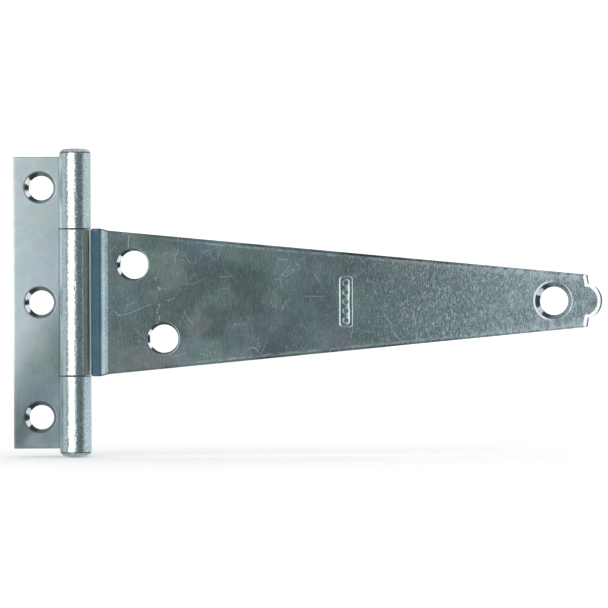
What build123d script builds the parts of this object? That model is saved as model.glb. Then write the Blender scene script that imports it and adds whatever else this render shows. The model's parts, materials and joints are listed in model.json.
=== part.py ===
from build123d import *
import math
import os

# A light T hinge for a gate or shed door, in its own frame.
# The origin is the middle screw hole of the fixed leaf, on the plane of the leaf's back.
# +X runs from the fixed leaf along the strap, +Z runs up the pin, and -Y faces the person who looks
# at the barrel. Everything is in millimetres.

# --- driving dimensions ---------------------------------------------------------------------------
SHEET = 2.0                    # thickness of both stamped leaves
PIN_RADIUS = 2.45
PIN_CLEARANCE = 0.05           # radial running clearance in the knuckles
PIN_AXIS_X = 9.8               # from the leaf's row of screw holes to the pin
KNUCKLE_GAP = 0.4              # between one knuckle's end and the next
CURL_END_DEG = 30.0            # each curl's free end, up from the line of its own leaf

LEAF_HEIGHT = 84.0
LEAF_OUTER_EDGE = 8.0          # from the row of screw holes to the leaf's free edge
LEAF_CORNER = 0.5
LEAF_HOLE_PITCH = 33.0
NOTCH_FROM_PIN = 4.4           # the leaf is notched here for the strap's knuckle
KNUCKLE_OVERHANG = 1.05        # the barrel stands this far past the leaf's ends

STRAP_LENGTH = 152.4           # from the pin's axis to the tip
STRAP_KNUCKLE_HEIGHT = 42.0
STRAP_NECK_HEIGHT = 42.6
STRAP_ROOT_HEIGHT = 41.4       # where the taper starts, just past the step
STRAP_SHOULDER_HEIGHT = 15.2   # where the taper ends, at the square shoulders
NECK_FROM_PIN = 4.7
SHOULDER_FROM_PIN = 148.1
LOBE_RADIUS = 5.4              # of the round nose past the shoulders
SHOULDER_CORNER = 0.3

STEP_START = 7.2               # the strap steps forward here, measured from the pin's axis
STEP_LENGTH = 2.2
STEP_HEIGHT = 0.5

HEAD_RADIUS = 4.35             # of the pin's upset ends
HEAD_HEIGHT = 1.1
HEAD_SHOULDER = 0.85
HEAD_CLEARANCE = 0.05

COUNTERSINK_ANGLE = 82.0       # included angle, as for flat-head wood screws
LEAF_HOLE_RADII = (3.5, 4.65)  # each pair is the hole, then its countersink at the front face
STRAP_HOLE_RADII = (4.05, 4.75)
TIP_HOLE_RADII = (4.1, 5.5)
STRAP_HOLES_FROM_PIN = ((17.0, 10.8), (25.5, -10.5))   # along the strap, then up from its middle
TIP_HOLE_FROM_PIN = 138.4

STAMP_FROM_PIN = 77.8          # a plain oblong groove stamped in the strap's face
STAMP_WIDTH = 4.3
STAMP_HEIGHT = 15.0
STAMP_GROOVE = 0.5
STAMP_DEPTH = 0.12

# --- sizes that follow from them ------------------------------------------------------------------
BORE_RADIUS = PIN_RADIUS + PIN_CLEARANCE
BARREL_RADIUS = BORE_RADIUS + SHEET
PIN_AXIS_Y = -BARREL_RADIUS                    # the barrel is flush with the leaf's back
LEAF_HALF = LEAF_HEIGHT / 2
BARREL_HALF = LEAF_HALF + KNUCKLE_OVERHANG
NOTCH_HALF = STRAP_KNUCKLE_HEIGHT / 2 + KNUCKLE_GAP
TIP_X = PIN_AXIS_X + STRAP_LENGTH
STEP_X = PIN_AXIS_X + STEP_START
ROOT_X = STEP_X + STEP_LENGTH
SHOULDER_X = PIN_AXIS_X + SHOULDER_FROM_PIN
STRAP_FACE_Y = -SHEET - STEP_HEIGHT
BEYOND = 1.0                                   # how far a cutting tool runs past what it cuts


def block(x_range, y_range, z_range):
    """A plain block that fills three ranges."""
    low, high = zip(x_range, y_range, z_range)
    size = [b - a for a, b in zip(low, high)]
    middle = [(a + b) / 2 for a, b in zip(low, high)]
    return Pos(*middle) * Box(*size)


def raised(face, z_low, z_high):
    """A flat section in the X-Y plane, made solid between two heights on the pin."""
    return extrude(Pos(0, 0, z_low) * face, amount=z_high - z_low)


def open_curl(side):
    """The section of a curl about the pin, open beside its own leaf. side is +1 for the strap, -1 for the leaf."""
    reach = 2 * BARREL_RADIUS
    turns = [math.radians(a) for a in (90, (90 + CURL_END_DEG) / 2, CURL_END_DEG)]
    mouth = [(0, 0)] + [(side * reach * math.cos(a), reach * math.sin(a)) for a in turns]
    ring = Circle(BARREL_RADIUS) - Circle(BORE_RADIUS) - make_face(Polyline(*mouth, close=True))
    return Pos(PIN_AXIS_X, PIN_AXIS_Y) * ring


def screw_hole(x, z, radii, face_y):
    """The tool for a countersunk screw hole, from the front face at face_y through to the back."""
    hole, sink = radii
    depth = (sink - hole) / math.tan(math.radians(COUNTERSINK_ANGLE / 2))
    drill = Cylinder(hole, SHEET + 2 * BEYOND)
    cone = Pos(0, 0, SHEET / 2 - depth / 2) * Cone(hole, sink, depth)
    lead = Pos(0, 0, SHEET / 2 + BEYOND / 2) * Cylinder(sink, BEYOND)
    tool = drill + cone + lead
    return Pos(x, face_y + SHEET / 2, z) * Rot(90, 0, 0) * tool


def fixed_leaf():
    """The rectangular leaf: a flat plate with a knuckle rolled from its top tongue and its bottom tongue."""
    plate = block((-LEAF_OUTER_EDGE, PIN_AXIS_X), (-SHEET, 0), (-LEAF_HALF, LEAF_HALF))
    plate = fillet(plate.edges().filter_by(Axis.Y).group_by(Axis.X)[0], LEAF_CORNER)
    plate -= block((PIN_AXIS_X - NOTCH_FROM_PIN, PIN_AXIS_X + BEYOND), (-SHEET - BEYOND, BEYOND),
                   (-NOTCH_HALF, NOTCH_HALF))
    tongue = block((PIN_AXIS_X - NOTCH_FROM_PIN, PIN_AXIS_X), (-SHEET, 0), (NOTCH_HALF, BARREL_HALF))
    knuckle = raised(open_curl(-1), NOTCH_HALF, BARREL_HALF) + tongue
    leaf = plate + knuckle + mirror(knuckle, about=Plane.XY)
    for row in (-1, 0, 1):
        leaf -= screw_hole(0, row * LEAF_HOLE_PITCH, LEAF_HOLE_RADII, -SHEET)
    return leaf


def step_line(y_start):
    """One face of the strap's sheet, from the pin to past the tip, seen from above with its forward step."""
    start, end = (STEP_X, y_start), (ROOT_X, y_start - STEP_HEIGHT)
    middle = ((start[0] + end[0]) / 2, (start[1] + end[1]) / 2)
    neck = Line((PIN_AXIS_X, y_start), start)
    down = TangentArc(start, middle, tangent=(1, 0))
    up = TangentArc(middle, end, tangent=down % 1)
    return [neck, down, up, Line(end, (TIP_X + BEYOND, end[1]))]


def strap_section():
    """The strap seen from above: the curl about the pin, the neck, the step and the long flat."""
    back, front = step_line(0), step_line(-SHEET)
    ends = [Line(back[0] @ 0, front[0] @ 0), Line(back[-1] @ 1, front[-1] @ 1)]
    return open_curl(1) + make_face(back + front + ends)


def strap_outline():
    """The strap seen from the front: knuckle, neck, long taper, square shoulders and a round nose."""
    half_heights = ((PIN_AXIS_X - BARREL_RADIUS - BEYOND, STRAP_KNUCKLE_HEIGHT / 2),
                    (PIN_AXIS_X + NECK_FROM_PIN, STRAP_KNUCKLE_HEIGHT / 2),
                    (PIN_AXIS_X + NECK_FROM_PIN, STRAP_NECK_HEIGHT / 2),
                    (STEP_X, STRAP_NECK_HEIGHT / 2),
                    (ROOT_X, STRAP_ROOT_HEIGHT / 2),
                    (SHOULDER_X, STRAP_SHOULDER_HEIGHT / 2))
    lower = [(x, -half) for x, half in reversed(half_heights)]
    body = make_face(Polyline(*half_heights, *lower, close=True))
    body = fillet(body.vertices().group_by(Axis.X)[-1], SHOULDER_CORNER)
    return body + Pos(TIP_X - LOBE_RADIUS, 0) * Circle(LOBE_RADIUS)


def stamp():
    """A plain oblong groove, used as a tool on the strap's face."""
    outer = SlotOverall(STAMP_HEIGHT, STAMP_WIDTH, rotation=90)
    inner = SlotOverall(STAMP_HEIGHT - 2 * STAMP_GROOVE, STAMP_WIDTH - 2 * STAMP_GROOVE, rotation=90)
    groove = extrude(outer - inner, amount=STAMP_DEPTH + BEYOND)
    return Pos(PIN_AXIS_X + STAMP_FROM_PIN, STRAP_FACE_Y + STAMP_DEPTH, 0) * Rot(90, 0, 0) * groove


def strap_leaf():
    """The long tapered strap, with its wide end rolled into the middle knuckle."""
    reach = STRAP_NECK_HEIGHT
    sheet = raised(strap_section(), -reach, reach)
    depth = 2 * BARREL_RADIUS + 2 * BEYOND
    outline = Pos(0, BEYOND, 0) * Rot(90, 0, 0) * extrude(strap_outline(), amount=depth)
    strap = sheet & outline
    for from_pin, up in STRAP_HOLES_FROM_PIN:
        strap -= screw_hole(PIN_AXIS_X + from_pin, up, STRAP_HOLE_RADII, STRAP_FACE_Y)
    strap -= screw_hole(PIN_AXIS_X + TIP_HOLE_FROM_PIN, 0, TIP_HOLE_RADII, STRAP_FACE_Y)
    return strap - stamp()


def hinge_pin():
    """The loose pin, with both ends upset into flat rounded heads that keep it in the barrel."""
    shank_half = BARREL_HALF + HEAD_CLEARANCE
    head = Pos(0, 0, shank_half + HEAD_HEIGHT / 2) * Cylinder(HEAD_RADIUS, HEAD_HEIGHT)
    head = fillet(head.edges().group_by(Axis.Z)[-1], HEAD_SHOULDER)
    pin = Cylinder(PIN_RADIUS, 2 * shank_half) + head + mirror(head, about=Plane.XY)
    return Pos(PIN_AXIS_X, PIN_AXIS_Y, 0) * pin


os.makedirs("parts", exist_ok=True)
for piece in (fixed_leaf, strap_leaf, hinge_pin):
    export_step(piece(), f"parts/{piece.__name__}.step")
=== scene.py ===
import json
import math

import bmesh
import bpy
from mathutils import Matrix, Vector


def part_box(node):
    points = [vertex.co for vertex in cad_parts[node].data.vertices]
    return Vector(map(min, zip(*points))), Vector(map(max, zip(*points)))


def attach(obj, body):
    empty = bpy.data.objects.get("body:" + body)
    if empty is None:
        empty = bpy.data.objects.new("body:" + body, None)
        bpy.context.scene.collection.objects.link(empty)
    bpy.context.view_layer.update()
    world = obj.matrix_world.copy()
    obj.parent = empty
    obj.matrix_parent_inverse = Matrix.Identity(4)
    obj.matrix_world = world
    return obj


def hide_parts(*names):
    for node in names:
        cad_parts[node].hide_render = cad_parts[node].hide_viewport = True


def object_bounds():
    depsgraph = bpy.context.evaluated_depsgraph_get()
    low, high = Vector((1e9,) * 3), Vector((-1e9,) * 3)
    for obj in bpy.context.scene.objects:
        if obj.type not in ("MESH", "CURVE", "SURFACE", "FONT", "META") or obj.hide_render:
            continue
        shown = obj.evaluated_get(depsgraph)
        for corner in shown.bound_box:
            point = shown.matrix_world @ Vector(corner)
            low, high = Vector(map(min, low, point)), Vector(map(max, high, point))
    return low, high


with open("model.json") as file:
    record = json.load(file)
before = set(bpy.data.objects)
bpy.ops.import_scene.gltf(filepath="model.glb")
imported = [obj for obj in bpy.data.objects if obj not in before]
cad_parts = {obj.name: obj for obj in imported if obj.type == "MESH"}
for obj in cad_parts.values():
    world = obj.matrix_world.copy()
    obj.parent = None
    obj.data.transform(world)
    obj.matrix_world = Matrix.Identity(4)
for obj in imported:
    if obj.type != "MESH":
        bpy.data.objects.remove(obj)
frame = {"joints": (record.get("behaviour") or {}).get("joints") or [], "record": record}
cad_low, cad_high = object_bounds()

# A zinc-plated T hinge: a pressed leaf, a long tapered strap and a headed pin.
# Pieces are shaped in millimetres and turned into metres when they are finished.
MM = 0.001

# --- sizes read from the frame ----------------------------------------------------------------------
LEAF_LOW, LEAF_HIGH = (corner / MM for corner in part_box("fixed_leaf"))
STRAP_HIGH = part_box("strap_leaf")[1] / MM
PIN_LOW, PIN_HIGH = (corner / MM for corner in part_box("hinge_pin"))
MOUNTS = {mount["name"]: mount for mount in frame["record"]["mounts"]}
SWING = next(joint for joint in frame["joints"] if joint["name"] == "strap_swing")
AXIS_X, AXIS_Y = SWING["pos_m"][0] / MM, SWING["pos_m"][1] / MM
BARREL_RADIUS = -AXIS_Y
BARREL_HALF = LEAF_HIGH.z
TIP_X = STRAP_HIGH.x
STRAP_BACK = MOUNTS["strap_back"]["pos_m"][1] / MM

# --- sizes of the pressed sheet ---------------------------------------------------------------------
SHEET = 2.0
LEAF_HALF = 42.0
NOTCH_HALF = 21.16
NOTCH_X = AXIS_X - 4.4
TONGUE_FOOT_X = AXIS_X - 3.6
TONGUE_TOP_X = AXIS_X - 2.7
KNUCKLE_HALF = 21.0
KNUCKLE_X = AXIS_X + 4.6
NECK_X = AXIS_X + 4.9
NECK_HALF = STRAP_HIGH.z
ROOT_HALF = 20.7
SHOULDER_HALF = 7.6
STEP_X = AXIS_X + 7.1
ROOT_X = AXIS_X + 9.4
SHOULDER_X = AXIS_X + 148.1
LOBE_RADIUS = 5.4
CURL_SWEEP = math.radians(300)
CURL_STEPS = 60
ROUND_STEPS = 72
SHARP_ANGLE = math.radians(42)

# --- how far each edge of the sheet is rounded: cut corners, the back, the leaf, the strap and its nose --
CUT_CORNER = 0.25
BACK_ROLL = 0.16
LEAF_ROLL = 0.34
STRAP_ROLL = 0.60
NOSE_ROLL = 1.75

# --- the plain stamp: its place, its half width, half height and rim, its corners and its rings ---------
STAMP_X = AXIS_X + 77.8
STAMP_HALF = (2.15, 7.5, 0.58)
STAMP_CORNER = 1.1
RING_COUNT = 5
RING_PITCH = 2.7

# --- screw holes: centre x and z, hole radius, sink radius, and how far the sink's punch stood off ------
SINK_HALF_ANGLE = math.radians(41)
PITCH = MOUNTS["leaf_outer_screw_holes"]["dims"]["spacing_y_mm"] / 2
LEAF_HOLE = MOUNTS["leaf_outer_screw_holes"]["dims"]["hole_r_mm"]
LEAF_HOLES = ((0, PITCH, LEAF_HOLE, 4.50, (-0.42, 0.16)),
              (0, 0, LEAF_HOLE, 4.50, (-0.40, 0.06)),
              (0, -PITCH, LEAF_HOLE, 4.50, (-0.42, 0.02)))
STRAP_HOLES = ((AXIS_X + 17.0, 10.8, 4.05, 4.55, (-0.66, 0.05)),
               (AXIS_X + 25.5, -10.5, 4.05, 4.60, (-0.34, 0.0)),
               (MOUNTS["strap_tip_screw_hole"]["pos_m"][0] / MM, 0, 4.1, 5.30, (-0.42, 0.05)))


def mesh_piece(name, bm, body, node, material):
    """Turns a finished bmesh into a piece that stands for one CAD node."""
    bmesh.ops.scale(bm, vec=(MM, MM, MM), verts=bm.verts)
    bmesh.ops.recalc_face_normals(bm, faces=bm.faces)
    for face in bm.faces:
        face.smooth = True
    mesh = bpy.data.meshes.new(name)
    bm.to_mesh(mesh)
    bm.free()
    mesh.set_sharp_from_angle(angle=SHARP_ANGLE)
    mesh.materials.append(material)
    piece = bpy.data.objects.new(name, mesh)
    bpy.context.scene.collection.objects.link(piece)
    even = piece.modifiers.new("even_shading", "WEIGHTED_NORMAL")
    even.keep_sharp = True
    even.weight = 60
    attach(piece, body)
    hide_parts(node)
    return piece


def flat_blank(outline, back_y):
    """A plate cut to an outline of (x, z) corners, from its back plane to one sheet in front of it."""
    bm = bmesh.new()
    back = bm.faces.new([bm.verts.new((x, back_y, z)) for x, z in outline])
    grown = bmesh.ops.extrude_face_region(bm, geom=[back])["geom"]
    front = [item for item in grown if isinstance(item, bmesh.types.BMVert)]
    bmesh.ops.translate(bm, verts=front, vec=(0, -SHEET, 0))
    bmesh.ops.recalc_face_normals(bm, faces=bm.faces)
    return bm


def rolled_edges(bm, widths, back_y, depth_share=0.75):
    """Rounds the blank's cut edges, each by its own width; widths(edge) gives 0 where it stays sharp.
    The rounding reaches depth_share as deep into the sheet as it reaches across its face."""
    stretch = Matrix.Translation((0, back_y, 0)) @ Matrix.Diagonal((1, 1 / depth_share, 1, 1)) \
        @ Matrix.Translation((0, -back_y, 0))
    wanted = {edge.index: widths(edge) for edge in bm.edges}
    widest = max(wanted.values())
    weight = bm.edges.layers.float.new("bevel_weight_edge")
    bm.edges.ensure_lookup_table()
    for index, width in wanted.items():
        bm.edges[index][weight] = width / widest
    bmesh.ops.transform(bm, matrix=stretch, verts=bm.verts)
    mesh = bpy.data.meshes.new("blank")
    bm.to_mesh(mesh)
    bm.free()
    holder = bpy.data.objects.new("blank", mesh)
    bpy.context.scene.collection.objects.link(holder)
    roll = holder.modifiers.new("roll", "BEVEL")
    roll.limit_method = "WEIGHT"
    roll.width = widest
    roll.segments = 5
    roll.use_clamp_overlap = False
    bpy.context.view_layer.update()
    rolled = bmesh.new()
    rolled.from_object(holder, bpy.context.evaluated_depsgraph_get())
    bpy.data.objects.remove(holder)
    bpy.data.meshes.remove(mesh)
    bmesh.ops.transform(rolled, matrix=stretch.inverted(), verts=rolled.verts)
    return rolled


def open_flat(bm, direction):
    """Takes away the widest flat face that looks in a direction and returns the edges round it."""
    facing = [face for face in bm.faces if face.normal.dot(Vector(direction)) > 0.999]
    face = max(facing, key=lambda f: f.calc_area())
    edges = list(face.edges)
    bmesh.ops.delete(bm, geom=[face], context="FACES_ONLY")
    return edges


def ring(bm, x, y, z, radius, steps=ROUND_STEPS):
    """A circle of edges in a plane that faces the front."""
    place = Matrix.Translation((x, y, z)) @ Matrix.Rotation(math.pi / 2, 4, "X")
    made = bmesh.ops.create_circle(bm, cap_ends=False, segments=steps, radius=radius, matrix=place)
    return list({edge for vert in made["verts"] for edge in vert.link_edges})


def grow_ring(bm, edges, old, new):
    """Extrudes a ring from one (x, y, z, radius) to the next and returns its new edges."""
    made = bmesh.ops.extrude_edge_only(bm, edges=edges)["geom"]
    verts = [item for item in made if isinstance(item, bmesh.types.BMVert)]
    share = new[3] / old[3]
    bmesh.ops.translate(bm, verts=verts, vec=[-value for value in old[:3]])
    bmesh.ops.scale(bm, verts=verts, vec=(share, share, share))
    bmesh.ops.translate(bm, verts=verts, vec=new[:3])
    return [item for item in made if isinstance(item, bmesh.types.BMEdge)]


def countersunk_hole(bm, x, z, hole, sink, front_y, back_y, lean):
    """Sinks a screw hole from the front. lean is how far the sink's punch stood off the hole's centre.
    Returns the edges where the hole meets the front face and where it meets the back."""
    lean_x, lean_z = lean
    depth = (sink - hole) / math.tan(SINK_HALF_ANGLE)
    profile = [(sink + 0.30, 0.0, 1.0),
               (sink + 0.17, 0.03, 1.0),
               (sink + 0.06, 0.11, 0.97),
               (sink - 0.05, 0.22, 0.93),
               (hole + 0.06, depth - 0.04, 0.07),
               (hole, depth + 0.06, 0.0),
               (hole, back_y - front_y - 0.10, 0.0),
               (hole + 0.10, back_y - front_y, 0.0)]
    places = [(x + lean_x * share, front_y + down, z + lean_z * share, radius)
              for radius, down, share in profile]
    edges = rim = ring(bm, *places[0])
    for old, new in zip(places, places[1:]):
        edges = grow_ring(bm, edges, old, new)
    return rim, edges


def close_face(bm, edges, normal):
    """Fills a flat face between its outer edges and the holes in it."""
    bmesh.ops.triangle_fill(bm, use_beauty=True, use_dissolve=False, edges=edges, normal=normal)


def push_loop(bm, edges, shift, height=1.0):
    """Extrudes a section loop, moves it and stretches it along the pin."""
    made = bmesh.ops.extrude_edge_only(bm, edges=edges)["geom"]
    verts = [item for item in made if isinstance(item, bmesh.types.BMVert)]
    bmesh.ops.scale(bm, verts=verts, vec=(1, 1, height))
    bmesh.ops.translate(bm, verts=verts, vec=shift)
    return [item for item in made if isinstance(item, bmesh.types.BMEdge)]


def roll_curl(bm, edges, side):
    """Rolls a section loop round the pin and closes the sheet's sheared end. side is +1 for the strap."""
    made = bmesh.ops.spin(bm, geom=edges, cent=(AXIS_X, AXIS_Y, 0), axis=(0, 0, 1), dvec=(0, 0, 0),
                          angle=side * CURL_SWEEP, steps=CURL_STEPS, use_duplicate=False)
    last = [item for item in made["geom_last"] if isinstance(item, bmesh.types.BMEdge)]
    bmesh.ops.edgeloop_fill(bm, edges=last)


def leaf_edge_width(edge):
    """How far the leaf's pressed edges are rounded: more in front, where the punch drew the sheet in."""
    a, b = (vert.co for vert in edge.verts)
    if abs(a.y - b.y) > 0.01:
        return CUT_CORNER if max(a.x, b.x) < NOTCH_X - 1.6 else 0.0
    if min(a.x, b.x) > AXIS_X - 0.01:
        return 0.0
    return LEAF_ROLL if a.y < -SHEET / 2 else BACK_ROLL


def pressed_leaf(material):
    """The rectangular leaf with its notch, three sunk holes and two rolled knuckles."""
    half = [(LEAF_LOW.x, LEAF_HALF), (TONGUE_FOOT_X, LEAF_HALF), (TONGUE_TOP_X, BARREL_HALF),
            (AXIS_X, BARREL_HALF), (AXIS_X, NOTCH_HALF), (NOTCH_X, NOTCH_HALF)]
    outline = half + [(x, -z) for x, z in reversed(half)]
    bm = rolled_edges(flat_blank(outline, 0), leaf_edge_width, 0)
    front, back = open_flat(bm, (0, -1, 0)), open_flat(bm, (0, 1, 0))
    for x, z, hole, sink, lean in LEAF_HOLES:
        rim, bottom = countersunk_hole(bm, x, z, hole, sink, -SHEET, 0, lean)
        front += rim
        back += bottom
    close_face(bm, front, (0, -1, 0))
    close_face(bm, back, (0, 1, 0))
    for tongue in (1, -1):
        ends = [face for face in bm.faces
                if face.normal.x > 0.999 and face.calc_center_median().x > AXIS_X - 0.01
                and face.calc_center_median().z * tongue > 0]
        edges = list(ends[0].edges)
        bmesh.ops.delete(bm, geom=ends, context="FACES_ONLY")
        roll_curl(bm, edges, -1)
    return mesh_piece("pressed_leaf", bm, "leaf", "fixed_leaf", material)


def strap_edge_width(edge):
    """How far the strap's pressed edges are rounded: a little along its sides, a lot round its nose."""
    a, b = (vert.co for vert in edge.verts)
    if abs(a.y - b.y) > 0.01:
        return CUT_CORNER if abs(a.x - SHOULDER_X) < 0.01 else 0.0
    if max(a.x, b.x) < ROOT_X + 0.01:
        return 0.0
    in_front = a.y < STRAP_BACK - SHEET / 2
    if min(a.x, b.x) > SHOULDER_X - 1:
        return NOSE_ROLL if in_front else BACK_ROLL
    return STRAP_ROLL if in_front else BACK_ROLL


def nose_outline():
    """Half of the strap's outline, root to tip: a straight taper, a shoulder and the round lobe."""
    centre_x = TIP_X - LOBE_RADIUS
    start = math.acos((SHOULDER_X + 0.35 - centre_x) / LOBE_RADIUS)
    arc = [start * (1 - step / 14) for step in range(15)]
    lobe = [(centre_x + LOBE_RADIUS * math.cos(a), LOBE_RADIUS * math.sin(a)) for a in arc]
    return [(ROOT_X, ROOT_HALF), (SHOULDER_X, SHOULDER_HALF)] + lobe


def oblong(bm, x, y, half_width, half_height, corner):
    """A loop of edges with round corners, standing along the pin."""
    steps = 24
    place = Matrix.Translation((x, y, 0)) @ Matrix.Rotation(math.pi / 2, 4, "X") \
        @ Matrix.Rotation(math.pi / steps, 4, "Z")
    made = bmesh.ops.create_circle(bm, cap_ends=False, segments=steps, radius=corner, matrix=place)
    for vert in made["verts"]:
        vert.co.x += math.copysign(half_width - corner, vert.co.x - x)
        vert.co.z += math.copysign(half_height - corner, vert.co.z)
    return list({edge for vert in made["verts"] for edge in vert.link_edges})


def plain_stamp(bm, front_y):
    """A shallow oblong groove round five pressed rings. Returns its outermost edges."""
    deep = 0.06
    half_width, half_height, rim = STAMP_HALF
    rungs = ((0.0, 0.0), (rim * 0.34, deep), (rim * 0.66, deep), (rim, 0.0))
    loops = [oblong(bm, STAMP_X, front_y + down, half_width - inset, half_height - inset,
                    STAMP_CORNER - inset)
             for inset, down in rungs]
    for outer, inner in zip(loops, loops[1:]):
        bmesh.ops.bridge_loops(bm, edges=outer + inner)
    field = list(loops[-1])
    for count in range(RING_COUNT):
        z = (count - (RING_COUNT - 1) / 2) * RING_PITCH
        ladder = ((1.12, 0.0), (0.94, deep), (0.82, deep), (0.62, 0.0))
        places = [(STAMP_X, front_y + down, z, radius) for radius, down in ladder]
        edges = ring(bm, *places[0], steps=28)
        field += edges
        for old, new in zip(places, places[1:]):
            edges = grow_ring(bm, edges, old, new)
        bmesh.ops.edgeloop_fill(bm, edges=edges)
    close_face(bm, field, (0, -1, 0))
    return loops[0]


def eased(share, rounded):
    """A straight climb from 0 to 1 whose two ends are rounded off over a share of its length."""
    if share > 0.5:
        return 1 - eased(1 - share, rounded)
    if share < rounded:
        return share ** 2 / (2 * rounded * (1 - rounded))
    return (share - rounded / 2) / (1 - rounded)


def tapered_strap(material):
    """The long strap: nose, taper, sunk holes, stamp, the step beside the barrel and the knuckle."""
    half = nose_outline()
    outline = half + [(x, -z) for x, z in reversed(half[:-1])]
    bm = rolled_edges(flat_blank(outline, STRAP_BACK), strap_edge_width, STRAP_BACK)
    front, back = open_flat(bm, (0, -1, 0)), open_flat(bm, (0, 1, 0))
    front_y = STRAP_BACK - SHEET
    for x, z, hole, sink, lean in STRAP_HOLES:
        rim, bottom = countersunk_hole(bm, x, z, hole, sink, front_y, STRAP_BACK, lean)
        front += rim
        back += bottom
    front += plain_stamp(bm, front_y)
    close_face(bm, front, (0, -1, 0))
    close_face(bm, back, (0, 1, 0))
    root = max((face for face in bm.faces if face.normal.x < -0.999), key=lambda f: f.calc_area())
    edges = list(root.edges)
    bmesh.ops.delete(bm, geom=[root], context="FACES_ONLY")
    step_run, step_steps, rounded = ROOT_X - STEP_X, 18, 0.38
    reached = Vector((0, 0, 0))
    for step in range(1, step_steps + 1):
        share = step / step_steps
        ease = eased(share, rounded)
        place = Vector((-step_run * share, -STRAP_BACK * ease, 0))
        before = ROOT_HALF + (NECK_HALF - ROOT_HALF) * (step - 1) / step_steps
        after = ROOT_HALF + (NECK_HALF - ROOT_HALF) * share
        edges = push_loop(bm, edges, place - reached, after / before)
        reached = place
    edges = push_loop(bm, edges, (NECK_X - STEP_X, 0, 0))
    edges = push_loop(bm, edges, (KNUCKLE_X - NECK_X, 0, 0), KNUCKLE_HALF / NECK_HALF)
    edges = push_loop(bm, edges, (AXIS_X - KNUCKLE_X, 0, 0))
    roll_curl(bm, edges, 1)
    return mesh_piece("tapered_strap", bm, "strap", "strap_leaf", material)


def headed_pin(material):
    """The pin: a plain shank between two flat domed heads."""
    half, radius = PIN_HIGH.z, (PIN_HIGH.x - PIN_LOW.x) / 2
    under = BARREL_HALF + 0.05
    profile = [(0, half), (2.2, half - 0.02), (3.0, half - 0.10), (3.6, half - 0.26), (4.0, half - 0.50),
               (4.25, half - 0.78), (radius, half - 0.98), (radius - 0.05, under + 0.02),
               (radius - 0.12, under), (2.45, under)]
    bm = bmesh.new()
    for side in (1, -1):
        verts = [bm.verts.new((AXIS_X + r, AXIS_Y, side * z)) for r, z in profile]
        edges = [bm.edges.new(pair) for pair in zip(verts, verts[1:])]
        bmesh.ops.spin(bm, geom=edges, cent=(AXIS_X, AXIS_Y, 0), axis=(0, 0, 1), dvec=(0, 0, 0),
                       angle=2 * math.pi, steps=96, use_merge=True, use_duplicate=False)
    bmesh.ops.remove_doubles(bm, verts=bm.verts, dist=0.0005)
    open_edges = [edge for edge in bm.edges if edge.is_boundary]
    bmesh.ops.bridge_loops(bm, edges=open_edges)
    return mesh_piece("headed_pin", bm, "leaf", "hinge_pin", material)


# --- shader tools ------------------------------------------------------------------------------------
def set_input(tree, socket, value):
    """Gives a socket a value, or a link when the value is another node's output."""
    if isinstance(value, bpy.types.NodeSocket):
        tree.links.new(value, socket)
    else:
        socket.default_value = value


def add_node(tree, kind, inputs=None, **settings):
    """Adds a node with its settings and its inputs."""
    made = tree.nodes.new(kind)
    for name, value in settings.items():
        setattr(made, name, value)
    for socket, value in (inputs or {}).items():
        set_input(tree, made.inputs[socket], value)
    return made


def calc(tree, operation, a, b=0.0, clamp=False):
    """One step of arithmetic."""
    return add_node(tree, "ShaderNodeMath", {0: a, 1: b}, operation=operation, use_clamp=clamp).outputs[0]


def vector_calc(tree, operation, a, b):
    """One step of arithmetic on vectors."""
    return add_node(tree, "ShaderNodeVectorMath", {0: a, 1: b}, operation=operation).outputs[0]


def blend(tree, share, a, b):
    """A mix of two colours."""
    made = add_node(tree, "ShaderNodeMix", {0: share, 6: a, 7: b}, data_type="RGBA")
    return made.outputs[2]


def soft_step(tree, value, low, high, start=0.0, end=1.0):
    """Goes from start, at low, to end, at high, with soft ends."""
    inputs = {"Value": value, "From Min": low, "From Max": high, "To Min": start, "To Max": end}
    return add_node(tree, "ShaderNodeMapRange", inputs, interpolation_type="SMOOTHSTEP").outputs["Result"]


def noise(tree, vector, scale, detail=2.0, roughness=0.5):
    """A noise value about 0.5."""
    inputs = {"Vector": vector, "Scale": scale, "Detail": detail, "Roughness": roughness}
    return add_node(tree, "ShaderNodeTexNoise", inputs).outputs["Fac"]


def new_group(name, inputs, outputs):
    """An empty shader node group. inputs and outputs map each socket's name to its type."""
    group = bpy.data.node_groups.new(name, "ShaderNodeTree")
    for label, kind in inputs.items():
        group.interface.new_socket(label, in_out="INPUT", socket_type=kind)
    for label, kind in outputs.items():
        group.interface.new_socket(label, in_out="OUTPUT", socket_type=kind)
    return group, group.nodes.new("NodeGroupInput").outputs, group.nodes.new("NodeGroupOutput").inputs


def use_group(tree, group, inputs):
    """Places a node group in a material and returns its outputs."""
    made = tree.nodes.new("ShaderNodeGroup")
    made.node_tree = group
    for socket, value in inputs.items():
        set_input(tree, made.inputs[socket], value)
    return made.outputs


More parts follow.
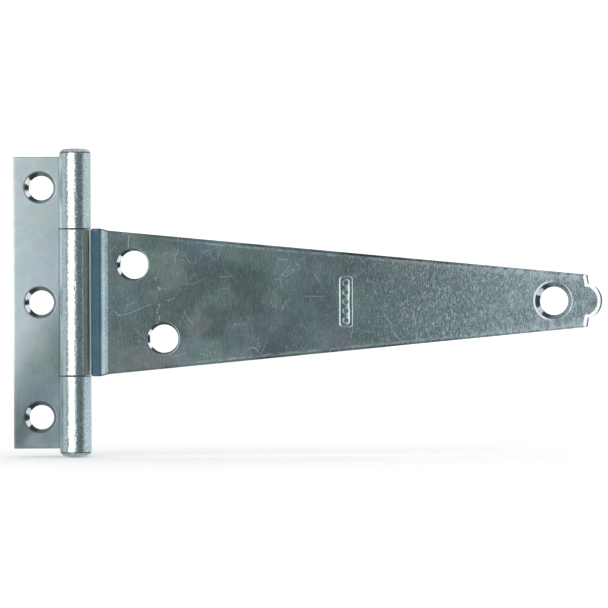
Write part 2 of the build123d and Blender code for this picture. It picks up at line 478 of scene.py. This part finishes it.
# --- marks that the plated pieces share -------------------------------------------------------------
def dragged_marks():
    """Short thin marks that run one way. Length and Width are in millimetres, Turn in radians."""
    group, given, result = new_group(
        "dragged_marks",
        {"Place": "NodeSocketVector", "Turn": "NodeSocketFloat", "Length": "NodeSocketFloat",
         "Width": "NodeSocketFloat", "Sway": "NodeSocketFloat", "Threshold": "NodeSocketFloat"},
        {"Mask": "NodeSocketFloat"})
    wave = add_node(group, "ShaderNodeTexNoise", {"Vector": given["Place"], "Scale": 0.11, "Detail": 1.0})
    offset = vector_calc(group, "SUBTRACT", wave.outputs["Color"], (0.5, 0.5, 0.5))
    offset = add_node(group, "ShaderNodeVectorMath", {0: offset, "Scale": given["Sway"]}, operation="SCALE")
    bent = vector_calc(group, "ADD", given["Place"], offset.outputs[0])
    turned = add_node(group, "ShaderNodeVectorRotate", {"Vector": bent, "Angle": given["Turn"]},
                      rotation_type="Y_AXIS").outputs[0]
    size = add_node(group, "ShaderNodeCombineXYZ", {"X": given["Width"], "Y": given["Width"],
                                                    "Z": given["Length"]}).outputs[0]
    stretched = vector_calc(group, "DIVIDE", turned, size)
    lines = noise(group, stretched, 1.0, 1.5)
    high = calc(group, "ADD", given["Threshold"], 0.06)
    group.links.new(soft_step(group, lines, given["Threshold"], high), result["Mask"])
    return group


def curved_scratches():
    """Long hair-thin scratches that wander and break off. Spread and Width are in millimetres."""
    group, given, result = new_group(
        "curved_scratches",
        {"Place": "NodeSocketVector", "Spread": "NodeSocketFloat", "Width": "NodeSocketFloat",
         "Kept": "NodeSocketFloat"},
        {"Mask": "NodeSocketFloat"})
    wave = add_node(group, "ShaderNodeTexNoise", {"Vector": given["Place"], "Scale": 0.06, "Detail": 2.0})
    offset = vector_calc(group, "SUBTRACT", wave.outputs["Color"], (0.5, 0.5, 0.5))
    offset = add_node(group, "ShaderNodeVectorMath", {0: offset, "Scale": 9.0}, operation="SCALE")
    bent = vector_calc(group, "ADD", given["Place"], offset.outputs[0])
    share = calc(group, "DIVIDE", 1.0, given["Spread"])
    cells = add_node(group, "ShaderNodeTexVoronoi", {"Vector": bent, "Scale": share},
                     feature="DISTANCE_TO_EDGE").outputs["Distance"]
    away = calc(group, "MULTIPLY", cells, given["Spread"])
    line = soft_step(group, away, calc(group, "MULTIPLY", given["Width"], 0.3), given["Width"], 1.0, 0.0)
    patch = noise(group, given["Place"], 0.23, 1.0)
    low = calc(group, "SUBTRACT", 1.0, given["Kept"])
    kept = soft_step(group, patch, low, calc(group, "ADD", low, 0.05))
    group.links.new(calc(group, "MULTIPLY", line, kept), result["Mask"])
    return group


def plating_drift():
    """The slow drift of a zinc coat's colour between blue, green and mauve about its own tone."""
    group, given, result = new_group(
        "plating_drift",
        {"Place": "NodeSocketVector", "Tone": "NodeSocketColor", "Amount": "NodeSocketFloat"},
        {"Colour": "NodeSocketColor"})
    colour = given["Tone"]
    tints = ((0.045, (0.50, 0.66, 0.80, 1)), (0.075, (0.54, 0.72, 0.60, 1)), (0.11, (0.68, 0.64, 0.70, 1)))
    for index, (scale, tint) in enumerate(tints):
        moved = vector_calc(group, "ADD", given["Place"], (31.0 * index, 17.0, 9.0 * index))
        share = soft_step(group, noise(group, moved, scale, 2.0), 0.47, 0.68)
        colour = blend(group, calc(group, "MULTIPLY", share, given["Amount"]), colour, tint)
    group.links.new(colour, result["Colour"])
    return group


def sink_patches():
    """Painted reflections on a sunk hole: glints and black patches on the left wall, a painted highlight on
    the lip on the left, and painted shade on the right wall. Reach is the sink's radius in millimetres and
    Patch the half angle of its middle black patch."""
    group, given, result = new_group(
        "sink_patches",
        {"Place": "NodeSocketVector", "Centre": "NodeSocketVector", "Reach": "NodeSocketFloat",
         "Patch": "NodeSocketFloat"},
        {"Glint": "NodeSocketFloat", "Black": "NodeSocketFloat", "Lip_highlight": "NodeSocketFloat",
         "Lee_shade": "NodeSocketFloat"})
    away = add_node(group, "ShaderNodeSeparateXYZ", {"Vector": vector_calc(
        group, "SUBTRACT", given["Place"], given["Centre"])}).outputs
    left = calc(group, "MULTIPLY", away["X"], -1.0)
    reach = calc(group, "SQRT", calc(group, "ADD", calc(group, "MULTIPLY", left, left),
                                     calc(group, "MULTIPLY", away["Z"], away["Z"])))
    inside = calc(group, "SUBTRACT", given["Reach"], reach)
    shallow = soft_step(group, away["Y"], SHEET * 0.72, SHEET * 0.80, 1.0, 0.0)
    wall = calc(group, "MULTIPLY", soft_step(group, inside, -0.05, 0.15), shallow)
    wander = calc(group, "MULTIPLY", calc(group, "SUBTRACT", noise(group, given["Place"], 0.9), 0.5), 0.4)
    clock = calc(group, "ADD", calc(group, "ABSOLUTE", calc(group, "ARCTAN2", away["Z"], left)), wander)
    past = calc(group, "SUBTRACT", clock, given["Patch"])
    far = calc(group, "MULTIPLY", soft_step(group, past, 0.46, 0.56),
               soft_step(group, clock, 1.2, 1.9, 1.0, 0.0))
    glint = calc(group, "MULTIPLY", soft_step(group, past, 0.0, 0.08),
                soft_step(group, past, 0.44, 0.54, 1.0, 0.0))
    black = calc(group, "MAXIMUM", soft_step(group, past, -0.05, 0.04, 1.0, 0.0), far)
    group.links.new(calc(group, "MULTIPLY", glint, wall), result["Glint"])
    group.links.new(calc(group, "MULTIPLY", black, wall), result["Black"])
    lip_highlight = calc(group, "MULTIPLY", soft_step(group, inside, -0.62, -0.40), shallow)
    lip_highlight = calc(group, "MULTIPLY", lip_highlight, soft_step(group, inside, -0.12, 0.02, 1.0, 0.0))
    group.links.new(calc(group, "MULTIPLY", lip_highlight, soft_step(group, clock, 0.9, 1.7, 1.0, 0.0)),
                    result["Lip_highlight"])
    # painted shade on the sink's right wall
    lee_shade = calc(group, "MULTIPLY", soft_step(group, left, -1.6, 0.4, 1.0, 0.0), shallow)
    group.links.new(calc(group, "MULTIPLY", lee_shade, soft_step(group, inside, -0.35, 0.10)), result["Lee_shade"])
    return group


# --- the plating's colours, and those of its painted highlights and painted shade --------------------
STAINED = (0.10, 0.12, 0.11, 1)
SCUFF_AND_SHEEN = (0.70, 0.82, 0.88, 1)
PAINTED_GLINT = (0.93, 0.95, 0.96, 1)
SHADE_AND_JOINT_DARK = (0.030, 0.042, 0.046, 1)
LEAF_PALE, LEAF_GREY = (0.68, 0.79, 0.82, 1), (0.56, 0.66, 0.69, 1)
LEAF_FOOT, LEAF_CORNER = (0.205, 0.265, 0.275, 1), (0.115, 0.155, 0.16, 1)
LEAF_KNUCKLES, LEAF_EDGE = (0.80, 0.89, 0.90, 1), (0.16, 0.19, 0.19, 1)
STRAP_ROOT, STRAP_MIDDLE = (0.335, 0.42, 0.42, 1), (0.275, 0.335, 0.345, 1)
STRAP_NOSE, STRAP_NECK = (0.84, 0.97, 1.0, 1), (0.165, 0.36, 0.51, 1)
STRAP_KNUCKLE, KNUCKLE_SHADE = (0.80, 0.86, 0.88, 1), (0.19, 0.23, 0.21, 1)
STRAP_EDGE, STRAP_SIDE = (0.10, 0.12, 0.12, 1), (0.05, 0.06, 0.06, 1)
BEND_CREST, BEND_FLANK = (0.23, 0.31, 0.34, 1), (0.085, 0.135, 0.165, 1)
SINK_SHADE = (0.20, 0.27, 0.32, 1)
PIN_DARK, PIN_PALE = (0.74, 0.80, 0.82, 1), (0.88, 0.92, 0.93, 1)

# --- the plating's relief: scales are per millimetre and heights are multiples of BUMP_DEPTH --------------
BUMP_DEPTH = 0.006
GRAIN_SCALE, GRAIN_HEIGHT = (5.0, 5.0, 0.7), 0.5
PEBBLE_SCALE, PEBBLE_HEIGHT = (1.3, 1.3, 3.4), 24.0
SCUFF_HEIGHT = 0.35
KNUCKLE_ROUGHNESS = 0.13

# --- the strap's marks -------------------------------------------------------------------------------
# Flecks: turn, length, width, and the threshold near the barrel and at the nose.
FLECKS = ((0.10, 1.7, 0.14, 0.71, 0.58), (-0.45, 1.3, 0.14, 0.72, 0.60), (0.85, 1.6, 0.11, 0.73, 0.66))
# Hair scratches: spread, width, the share kept and the strength.
HAIRS = ((23.0, 0.10, 0.51, 0.42), (14.0, 0.08, 0.47, 0.35), (9.0, 0.06, 0.43, 0.35))


# --- finishes ----------------------------------------------------------------------------------------
class Surface:
    """A material in the making, with the places that its patterns are drawn by."""

    def __init__(self, name, shared):
        self.material = bpy.data.materials.new(name)
        self.material.use_nodes = True
        self.tree = self.material.node_tree
        self.shader = self.tree.nodes["Principled BSDF"]
        self.shared = shared
        own = add_node(self.tree, "ShaderNodeTexCoord").outputs
        self.place = add_node(self.tree, "ShaderNodeVectorMath", {0: own["Object"], "Scale": 1 / MM},
                              operation="SCALE").outputs[0]
        parts = add_node(self.tree, "ShaderNodeSeparateXYZ", {"Vector": self.place}).outputs
        self.x, self.y, self.z = parts["X"], parts["Y"], parts["Z"]
        facing = add_node(self.tree, "ShaderNodeSeparateXYZ", {"Vector": own["Normal"]}).outputs
        self.facing_tip = facing["X"]
        # faces looking up or down, mostly the sheet's cut edges, which the finishes tint dark as painted
        # shade
        self.cut_edge = soft_step(self.tree, calc(self.tree, "ABSOLUTE", facing["Z"]), 0.22, 0.50)
        self.across = self.minus(self.x, AXIS_X)
        reach = self.length(self.across, self.minus(self.y, AXIS_Y))
        self.barrel = self.step(reach, BARREL_RADIUS + 0.1, BARREL_RADIUS + 0.5, 1.0, 0.0)

    def calc(self, operation, a, b=0.0, clamp=False):
        """One step of arithmetic."""
        return calc(self.tree, operation, a, b, clamp)

    def times(self, a, b):
        """One value multiplied by another."""
        return self.calc("MULTIPLY", a, b)

    def plus(self, a, b):
        """The sum of two values."""
        return self.calc("ADD", a, b)

    def minus(self, a, b):
        """The first value less the second."""
        return self.calc("SUBTRACT", a, b)

    def length(self, a, b):
        """The length of the line that two values at right angles span."""
        return self.calc("SQRT", self.plus(self.times(a, a), self.times(b, b)))

    def tinted(self, share, colour, paint):
        """A colour with a share of paint over it."""
        return blend(self.tree, share, colour, paint)

    def cloud(self, scale, detail=2.0, roughness=0.5):
        """A slow or a fast noise over the whole piece, about 0.5."""
        return noise(self.tree, self.place, scale, detail, roughness)

    def step(self, value, low, high, start=0.0, end=1.0):
        """A soft change from start to end."""
        return soft_step(self.tree, value, low, high, start, end)

    def band(self, value, low, high, soft):
        """1 between low and high."""
        rise = self.step(value, low - soft, low + soft)
        return self.times(rise, self.step(value, high - soft, high + soft, 1.0, 0.0))

    def either(self, masks):
        """The strongest of several masks."""
        total = 0.0
        for mask in masks:
            total = self.calc("MAXIMUM", total, mask)
        return total

    def streaks(self, turn, length, width, threshold, sway=1.0):
        """Short dragged marks."""
        return use_group(self.tree, self.shared["dragged_marks"], {
            "Place": self.place, "Turn": turn, "Length": length, "Width": width, "Sway": sway,
            "Threshold": threshold})["Mask"]

    def hairs(self, spread, width, kept):
        """Long thin scratches."""
        return use_group(self.tree, self.shared["curved_scratches"], {
            "Place": self.place, "Spread": spread, "Width": width, "Kept": kept})["Mask"]

    def sinks(self, holes, front_y):
        """The painted glints, painted dark reflections and painted shade of every sunk hole. Only a wide
        sink has a painted highlight on its lip.
        """
        glint, black, lee_shade = [], [], []
        for x, z, hole, sink, lean in holes:
            wide = sink - hole > 1.1
            found = use_group(self.tree, self.shared["sink_patches"], {
                "Place": self.place, "Centre": (x + lean[0], front_y, z + lean[1]), "Reach": sink,
                "Patch": 0.38 if wide else 0.2})
            glint.append(found["Glint"])
            black.append(found["Black"])
            if wide:
                # a wide sink's painted glints are fainter and its lip carries a painted highlight
                glint[-1] = self.calc("MAXIMUM", self.times(found["Glint"], 0.40),
                                     self.times(found["Lip_highlight"], 0.85))
                lee_shade.append(found["Lee_shade"])
        return self.either(glint), self.either(black), self.either(lee_shade)

    def dark_joints_and_seam_shade(self):
        """The dark lines where the knuckles meet each other and the pin's heads, and a painted shadow line
        down the barrel's left side.
        """
        height = self.calc("ABSOLUTE", self.z)
        knuckles = self.band(height, KNUCKLE_HALF - 0.16, NOTCH_HALF + 0.16, 0.08)
        heads = self.band(height, BARREL_HALF - 0.16, BARREL_HALF + 0.14, 0.08)
        lines = self.calc("MAXIMUM", knuckles, self.times(heads, 0.9))
        # painted shadow line down the barrel's left side
        silhouette_shade = self.times(self.band(self.across, -4.9, -4.15, 0.12), 0.35)
        return self.calc("MAXIMUM", self.times(lines, self.barrel), silhouette_shade)

    def finish(self, tone, tints, scuffs_and_sheen, glint, black, roughness, stain):
        """Joins the plating's tone, grain and marks in the shader. tints and stain make its tone uneven."""
        tree, shader = self.tree, self.shader
        cloud = self.cloud(0.30, 4.0, 0.62)
        mottle = self.times(self.step(self.cloud(1.9), 0.42, 0.62), self.barrel)
        grit = self.step(self.cloud(2.0, 2.0, 0.6), 0.40, 0.60, 0.0, stain)
        shade = self.plus(self.step(cloud, 0.38, 0.66, 0.0, 0.05 + stain), grit)
        shade = self.times(shade, self.minus(1.0, self.times(self.barrel, 0.85)))
        shade = self.calc("MAXIMUM", self.times(mottle, 0.30), shade)
        tone = self.tinted(shade, tone, STAINED)
        colour = use_group(tree, self.shared["plating_drift"], {
            "Place": self.place, "Tone": tone, "Amount": tints})["Colour"]
        # the glint paint is painted highlight, the pale scuff paint also carries the strap's painted edge
        # highlight, and the dark paint is painted shade and dark reflection as well as the dark knuckle
        # joints
        for mask, paint in ((scuffs_and_sheen, SCUFF_AND_SHEEN), (glint, PAINTED_GLINT), (black, SHADE_AND_JOINT_DARK)):
            colour = self.tinted(mask, colour, paint)
        tree.links.new(colour, shader.inputs["Base Color"])
        dull = self.plus(self.times(scuffs_and_sheen, 0.34), self.times(glint, 0.85))
        dull = self.calc("MAXIMUM", dull, self.times(black, 0.8))
        tree.links.new(self.calc("SUBTRACT", 1.0, dull, True), shader.inputs["Metallic"])
        grain = noise(tree, vector_calc(tree, "MULTIPLY", self.place, GRAIN_SCALE), 1.0, 3.0, 0.6)
        plate = self.plus(self.step(grain, 0.3, 0.7, roughness - 0.03, roughness + 0.03),
                          self.step(cloud, 0.3, 0.7, -0.02, 0.03))
        rough = add_node(tree, "ShaderNodeMix", {0: self.barrel, 2: plate, 3: KNUCKLE_ROUGHNESS}).outputs[0]
        rough = self.plus(rough, self.times(scuffs_and_sheen, 0.22))
        rough = self.calc("MAXIMUM", rough, self.times(black, 0.5))
        tree.links.new(rough, shader.inputs["Roughness"])
        pebble = noise(tree, vector_calc(tree, "MULTIPLY", self.place, PEBBLE_SCALE), 1.0, 2.0)
        height = self.plus(self.times(grain, GRAIN_HEIGHT),
                           self.times(self.times(pebble, self.barrel), PEBBLE_HEIGHT))
        height = self.minus(height, self.times(scuffs_and_sheen, SCUFF_HEIGHT))
        bump = add_node(tree, "ShaderNodeBump", {"Height": height, "Distance": BUMP_DEPTH * MM})
        tree.links.new(bump.outputs["Normal"], shader.inputs["Normal"])
        return self.material


def leaf_zinc(shared):
    """Clean pale zinc, with painted shade that greys it to the right and darkens it at the leaf's foot,
    with rolling lines and a few hair scratches.
    """
    skin = Surface("leaf_zinc", shared)
    # painted shade: the plate goes from pale at the upper left to grey on the right and dark at the foot
    foot = skin.minus(skin.z, skin.times(skin.x, 1.6))
    share = skin.times(skin.step(foot, -27, 4, 1.0, 0.0), skin.minus(1.0, skin.barrel))
    toe = skin.times(skin.step(skin.z, -42, -35, 0.3, 0.0), skin.step(skin.x, -3, 4))
    share = skin.times(share, skin.minus(1.0, toe))
    foot_tone = skin.tinted(skin.step(skin.x, -8, 6), LEAF_CORNER, LEAF_FOOT)
    plate_tone = skin.tinted(skin.step(skin.x, -5, 5), LEAF_PALE, LEAF_GREY)
    tone = skin.tinted(share, plate_tone, foot_tone)
    tone = skin.tinted(skin.barrel, tone, LEAF_KNUCKLES)
    # painted shade on the leaf's up- and down-facing cut edges
    tone = skin.tinted(skin.times(skin.cut_edge, 0.6), tone, LEAF_EDGE)
    lines = skin.times(skin.streaks(0.0, 5.0, 0.22, 0.60), 0.12)
    hairs = skin.times(skin.hairs(13.0, 0.07, 0.42), 0.25)
    glint, black = skin.sinks(LEAF_HOLES, -SHEET)[:2]
    black = skin.either((black, skin.dark_joints_and_seam_shade()))
    scuffs_and_sheen = skin.either((lines, hairs))
    return skin.finish(tone, 0.25, scuffs_and_sheen, glint, black, roughness=0.40, stain=0.05)


def strap_front(skin):
    """1 on the front face of the strap's flat."""
    return skin.step(skin.y, STRAP_BACK - 0.7, STRAP_BACK - 0.5, 1.0, 0.0)


def stamp_wear(skin):
    """The rubbed edges of the stamp's outline and rings."""
    beside = skin.calc("ABSOLUTE", skin.minus(skin.x, STAMP_X))
    along = skin.calc("ABSOLUTE", skin.z)
    half_width, half_height, rim = STAMP_HALF
    past_x = skin.calc("MAXIMUM", skin.minus(beside, half_width - STAMP_CORNER), 0.0)
    past_z = skin.calc("MAXIMUM", skin.minus(along, half_height - STAMP_CORNER), 0.0)
    edge = skin.length(past_x, past_z)
    outline = skin.band(edge, STAMP_CORNER - rim, STAMP_CORNER, 0.10)
    near_ring = add_node(skin.tree, "ShaderNodeMath", {0: skin.z, 1: RING_PITCH / 2, 2: -RING_PITCH / 2},
                         operation="WRAP").outputs[0]
    reach = skin.length(beside, near_ring)
    row_half = RING_PITCH * RING_COUNT / 2
    rings = skin.times(skin.band(reach, 0.66, 1.08, 0.08),
                       skin.step(along, row_half - 0.1, row_half, 1.0, 0.0))
    worn = skin.step(skin.cloud(1.7), 0.38, 0.58, 0.35, 1.0)
    return skin.times(skin.times(skin.calc("MAXIMUM", outline, rings), worn), strap_front(skin))


def strap_sides(skin):
    """The pressed long edges: a dark line of painted shade at the very edge, a narrow pale band of painted
    highlight and a wide rubbed one.
    """
    taper = (SHOULDER_HALF - ROOT_HALF) / (SHOULDER_X - ROOT_X)
    half_width = skin.plus(skin.times(skin.minus(skin.x, ROOT_X), taper), ROOT_HALF)
    top = skin.step(skin.z, -1.0, 1.0, 0.0, 0.20)
    margin = skin.minus(skin.minus(half_width, skin.calc("ABSOLUTE", skin.z)), top)
    along = skin.times(skin.step(skin.x, ROOT_X + 8, ROOT_X + 36),
                       skin.step(skin.x, SHOULDER_X - 1.0, SHOULDER_X - 0.5, 1.0, 0.0))
    # painted shade: a dark line at the very edge; the pale band below is a painted highlight
    dark = skin.times(skin.step(margin, 0.36, 0.56, 1.0, 0.0), along)
    patchy = skin.times(along, skin.step(skin.cloud(0.55, 3.0), 0.36, 0.60, 0.25, 1.0))
    pale = skin.times(skin.band(margin, 0.60, 1.35, 0.15), patchy)
    wide = skin.times(skin.step(margin, 0.8, 3.4, 1.0, 0.0), patchy)
    return dark, pale, wide


def rub_line(skin):
    """A crinkled line rubbed into the plating between the two holes nearest the barrel."""
    wander = skin.times(skin.minus(skin.cloud(0.5, 4.0, 0.7), 0.5), 7.0)
    off = skin.calc("ABSOLUTE", skin.plus(skin.minus(skin.across, 23.6), wander))
    kept = skin.step(skin.cloud(1.1, 2.0), 0.44, 0.56)
    line = skin.times(skin.step(off, 0.08, 0.34, 1.0, 0.0), skin.band(skin.z, -8.0, 8.0, 1.5))
    return skin.times(line, kept)


def bend_tone(skin):
    """The bend's painted highlight: bright along its crest, with bluer painted shade on both sides and a
    ragged border.
    """
    ragged = skin.times(skin.minus(skin.cloud(2.4, 2.0, 0.6), 0.5), 1.1)
    crest = skin.band(skin.plus(skin.across, ragged), 7.75, 8.4, 0.35)
    return skin.tinted(crest, BEND_FLANK, BEND_CREST)


def strap_tone(skin, nearness, edge_shade_line):
    """The strap's tone from the knuckle to the nose, before its marks, with painted shade at its neck, cut
    edges, long edges and the knuckle's right side, and a painted highlight along the bend.
    """
    root_tone = skin.tinted(skin.step(skin.across, 18, 52), STRAP_ROOT, STRAP_MIDDLE)
    tone = skin.tinted(skin.calc("POWER", nearness, 1.8), root_tone, STRAP_NOSE)
    tone = skin.tinted(skin.barrel, tone, STRAP_KNUCKLE)
    step_start, step_end = STEP_X - AXIS_X, ROOT_X - AXIS_X
    in_front = strap_front(skin)
    # painted shade: the recessed neck beside the barrel is a dark blue
    neck = skin.times(skin.band(skin.across, 4.5, step_start, 0.2), in_front)
    tone = skin.tinted(neck, tone, STRAP_NECK)
    # painted highlight along the bend, with painted shade on its flanks
    bend = skin.times(skin.band(skin.across, step_start - 0.2, step_end - 0.1, 0.3), in_front)
    tone = skin.tinted(bend, tone, bend_tone(skin))
    # painted shade on the strap's up- and down-facing cut edges
    tone = skin.tinted(skin.times(skin.cut_edge, 0.85), tone, STRAP_EDGE)
    # painted shade: the dark line at the very edge of the long sides
    tone = skin.tinted(skin.times(edge_shade_line, 0.95), tone, STRAP_SIDE)
    # painted shade down the right side of the strap's knuckle
    lee_shade = skin.times(skin.band(skin.across, 2.3, 4.05, 0.2), skin.barrel)
    return skin.tinted(lee_shade, tone, KNUCKLE_SHADE)


def strap_scuffs_and_sheen(skin, nearness, edge_sheen, side_rub):
    """Flecks, hair scratches and rubbed places on the strap's flat, with the painted highlight along its
    long edges.
    """
    bolder = skin.step(nearness, 0.3, 1.0, 0.38, 0.90)
    marks = []
    for turn, length, width, sparse, dense in FLECKS:
        limit = skin.step(nearness, 0.0, 1.0, sparse, dense)
        marks.append((skin.streaks(turn, length, width, limit, 1.5), bolder))
    marks.append((skin.streaks(0.05, 2.2, 0.30, 0.52), 0.08))
    for spread, width, kept, strength in HAIRS:
        marks.append((skin.hairs(spread, width, kept), strength))
    marks.append((stamp_wear(skin), 0.38))
    marks.append((rub_line(skin), 0.5))
    frost = skin.step(skin.cloud(2.6), 0.38, 0.62)
    marks.append((skin.times(frost, skin.step(skin.across, 8.6, 11.5, 1.0, 0.0)), 0.22))
    bloom = skin.step(skin.cloud(0.30, 4.0, 0.6), 0.36, 0.66)
    marks.append((skin.times(bloom, skin.step(nearness, 0.78, 1.0)), 0.42))
    # the pale band along the long edges is a painted highlight
    marks.append((edge_sheen, 0.30))
    marks.append((skin.times(side_rub, skin.step(nearness, 0.72, 0.98)), 0.75))
    strongest = skin.either([skin.times(mask, strength) for mask, strength in marks])
    return skin.times(strongest, skin.step(skin.x, STEP_X - 1, ROOT_X + 2))


def strap_zinc(shared):
    """Scuffed zinc: flecks grow denser to the nose, the neck is blue with painted shade and the nose's roll
    has a painted highlight.
    """
    skin = Surface("strap_zinc", shared)
    nearness = skin.step(skin.x, AXIS_X + 10, TIP_X)
    edge_shade_line, edge_sheen, side_rub = strap_sides(skin)
    scuffs_and_sheen = strap_scuffs_and_sheen(skin, nearness, edge_sheen, side_rub)
    nose = skin.step(skin.x, SHOULDER_X - 2.0, SHOULDER_X - 1.6)
    # painted highlight on the nose's rolled edge, and a painted dark line round its outer rim
    roll = skin.times(skin.band(skin.facing_tip, 0.10, 0.54, 0.04), nose)
    rim = skin.times(skin.step(skin.facing_tip, 0.52, 0.60, 0.0, 0.85), nose)
    # painted highlight along the right edge of the strap's knuckle, where it meets the neck
    knuckle_rim_highlight = skin.times(skin.band(skin.across, 4.05, 4.6, 0.05), skin.barrel)
    glint, black, sink_shade = skin.sinks(STRAP_HOLES, STRAP_BACK - SHEET)
    glint = skin.either((glint, roll, skin.times(knuckle_rim_highlight, 0.7)))
    black = skin.either((black, rim, skin.dark_joints_and_seam_shade()))
    # painted shade on the right wall of each wide sunk hole
    tone = skin.tinted(skin.times(sink_shade, 0.7), strap_tone(skin, nearness, edge_shade_line), SINK_SHADE)
    tints = skin.times(skin.step(skin.across, 9.0, 14.0, 0.06, 0.35),
                       skin.step(nearness, 0.5, 0.9, 1.0, 0.4))
    return skin.finish(tone, tints, scuffs_and_sheen, glint, black, roughness=0.175, stain=0.20)


def pin_zinc(shared):
    """Bright zinc with fine drawn lines."""
    skin = Surface("pin_zinc", shared)
    tone = skin.tinted(skin.step(skin.cloud(0.8), 0.4, 0.6), PIN_DARK, PIN_PALE)
    lines = skin.streaks(0.0, 1.2, 0.3, 0.62, 0.5)
    return skin.finish(tone, 0.2, lines, 0.0, skin.dark_joints_and_seam_shade(), roughness=0.16, stain=0.1)


# --- the studio --------------------------------------------------------------------------------------
WHITE, COOL, TEAL = (1.0, 1.0, 1.0), (0.86, 0.95, 1.0), (0.76, 0.95, 0.98)
# The room round the hinge: an angle from straight ahead, a tint and a brightness.
AROUND = ((-180, COOL, 0.45), (-110, COOL, 0.55), (-82, COOL, 0.74), (-70, COOL, 0.36), (-57, COOL, 0.30),
          (-50, WHITE, 2.20), (-12, WHITE, 2.20), (-6, WHITE, 0.75), (0, TEAL, 0.28), (8, TEAL, 0.20),
          (30, TEAL, 0.19), (58, TEAL, 0.14), (66, COOL, 0.74), (120, COOL, 0.76), (180, COOL, 0.70))
BRIGHTEST = 3.0
CEILING, UNDERSIDE = (0.17, 0.18, 0.185, 1), (0.14, 0.15, 0.15, 1)
EVEN_LIGHT = 1.2


def studio_light():
    """Soft light by direction: a softbox at the left front, a dark wall ahead and a paler room behind."""
    world = bpy.data.worlds.new("soft_studio")
    bpy.context.scene.world = world
    world.use_nodes = True
    tree = world.node_tree
    tree.nodes.clear()
    direction = add_node(tree, "ShaderNodeTexCoord").outputs["Generated"]
    parts = add_node(tree, "ShaderNodeSeparateXYZ", {"Vector": direction}).outputs
    turn = calc(tree, "ARCTAN2", parts["X"], calc(tree, "MULTIPLY", parts["Y"], -1.0))
    share = calc(tree, "ADD", calc(tree, "DIVIDE", turn, 2 * math.pi), 0.5)
    ramp = add_node(tree, "ShaderNodeValToRGB", {"Fac": share})
    stops = ramp.color_ramp.elements
    while len(stops) < len(AROUND):
        stops.new(0.5)
    for stop, (angle, tint, level) in zip(stops, AROUND):
        stop.position = (angle + 180) / 360
        stop.color = [value * level / BRIGHTEST for value in tint] + [1]
    above = soft_step(tree, parts["Z"], 0.35, 0.75)
    below = soft_step(tree, parts["Z"], -0.75, -0.35, 1.0, 0.0)
    room = blend(tree, above, ramp.outputs["Color"], CEILING)
    room = blend(tree, below, room, UNDERSIDE)
    path = add_node(tree, "ShaderNodeLightPath").outputs
    even = calc(tree, "MAXIMUM", path["Is Camera Ray"], path["Is Diffuse Ray"])
    lit = add_node(tree, "ShaderNodeBackground", {"Color": room, "Strength": BRIGHTEST}).outputs[0]
    plain = add_node(tree, "ShaderNodeBackground", {"Color": (1, 1, 1, 1), "Strength": EVEN_LIGHT})
    plain = plain.outputs[0]
    mixed = add_node(tree, "ShaderNodeMixShader", {0: even, 1: lit, 2: plain}).outputs[0]
    add_node(tree, "ShaderNodeOutputWorld", {"Surface": mixed})


def pale_floor():
    """A wide white floor that the hinge stands on. It is left out of mirror reflections."""
    middle_x, gap, size = 0.075, 0.0002, 3.0
    bm = bmesh.new()
    place = Matrix.Translation((middle_x, 0, cad_low[2] - gap))
    bmesh.ops.create_grid(bm, x_segments=1, y_segments=1, size=size, matrix=place)
    mesh = bpy.data.meshes.new("floor")
    bm.to_mesh(mesh)
    bm.free()
    floor = bpy.data.objects.new("floor", mesh)
    bpy.context.scene.collection.objects.link(floor)
    material = bpy.data.materials.new("white_card")
    material.use_nodes = True
    tree = material.node_tree
    shader = tree.nodes["Principled BSDF"]
    own = add_node(tree, "ShaderNodeTexCoord").outputs["Object"]
    fibre = soft_step(tree, noise(tree, own, 40.0, 3.0), 0.3, 0.7, 0.935, 0.95)
    tree.links.new(fibre, shader.inputs["Base Color"])
    shader.inputs["Roughness"].default_value = 0.9
    mesh.materials.append(material)
    floor.visible_glossy = False


def camera():
    """A long lens square to the strap's middle, very slightly round to the left."""
    distance, turn, roll, frame_width, sensor = 1.2, math.radians(-2.5), math.radians(-0.2), 0.1754, 36.0
    target = Vector(((AXIS_X + 65.8) * MM, (STRAP_BACK - SHEET) * MM, -0.66 * MM))
    lens = bpy.data.cameras.new("long_lens")
    lens.sensor_width = sensor
    lens.lens = sensor * distance / frame_width
    lens.clip_start, lens.clip_end = 0.01, 20.0
    holder = bpy.data.objects.new("long_lens", lens)
    away = Vector((math.sin(turn), -math.cos(turn), 0)) * distance
    aim = (-away).to_track_quat("-Z", "Y").to_matrix().to_4x4()
    holder.matrix_world = Matrix.Translation(target + away) @ aim @ Matrix.Rotation(roll, 4, "Z")
    bpy.context.scene.collection.objects.link(holder)
    bpy.context.scene.camera = holder


# --- the hinge ---------------------------------------------------------------------------------------
SHARED = {group.name: group
          for group in (dragged_marks(), curved_scratches(), plating_drift(), sink_patches())}
pressed_leaf(leaf_zinc(SHARED))
tapered_strap(strap_zinc(SHARED))
headed_pin(pin_zinc(SHARED))

studio_light()
pale_floor()
camera()
bpy.context.scene.view_settings.view_transform = "Standard"
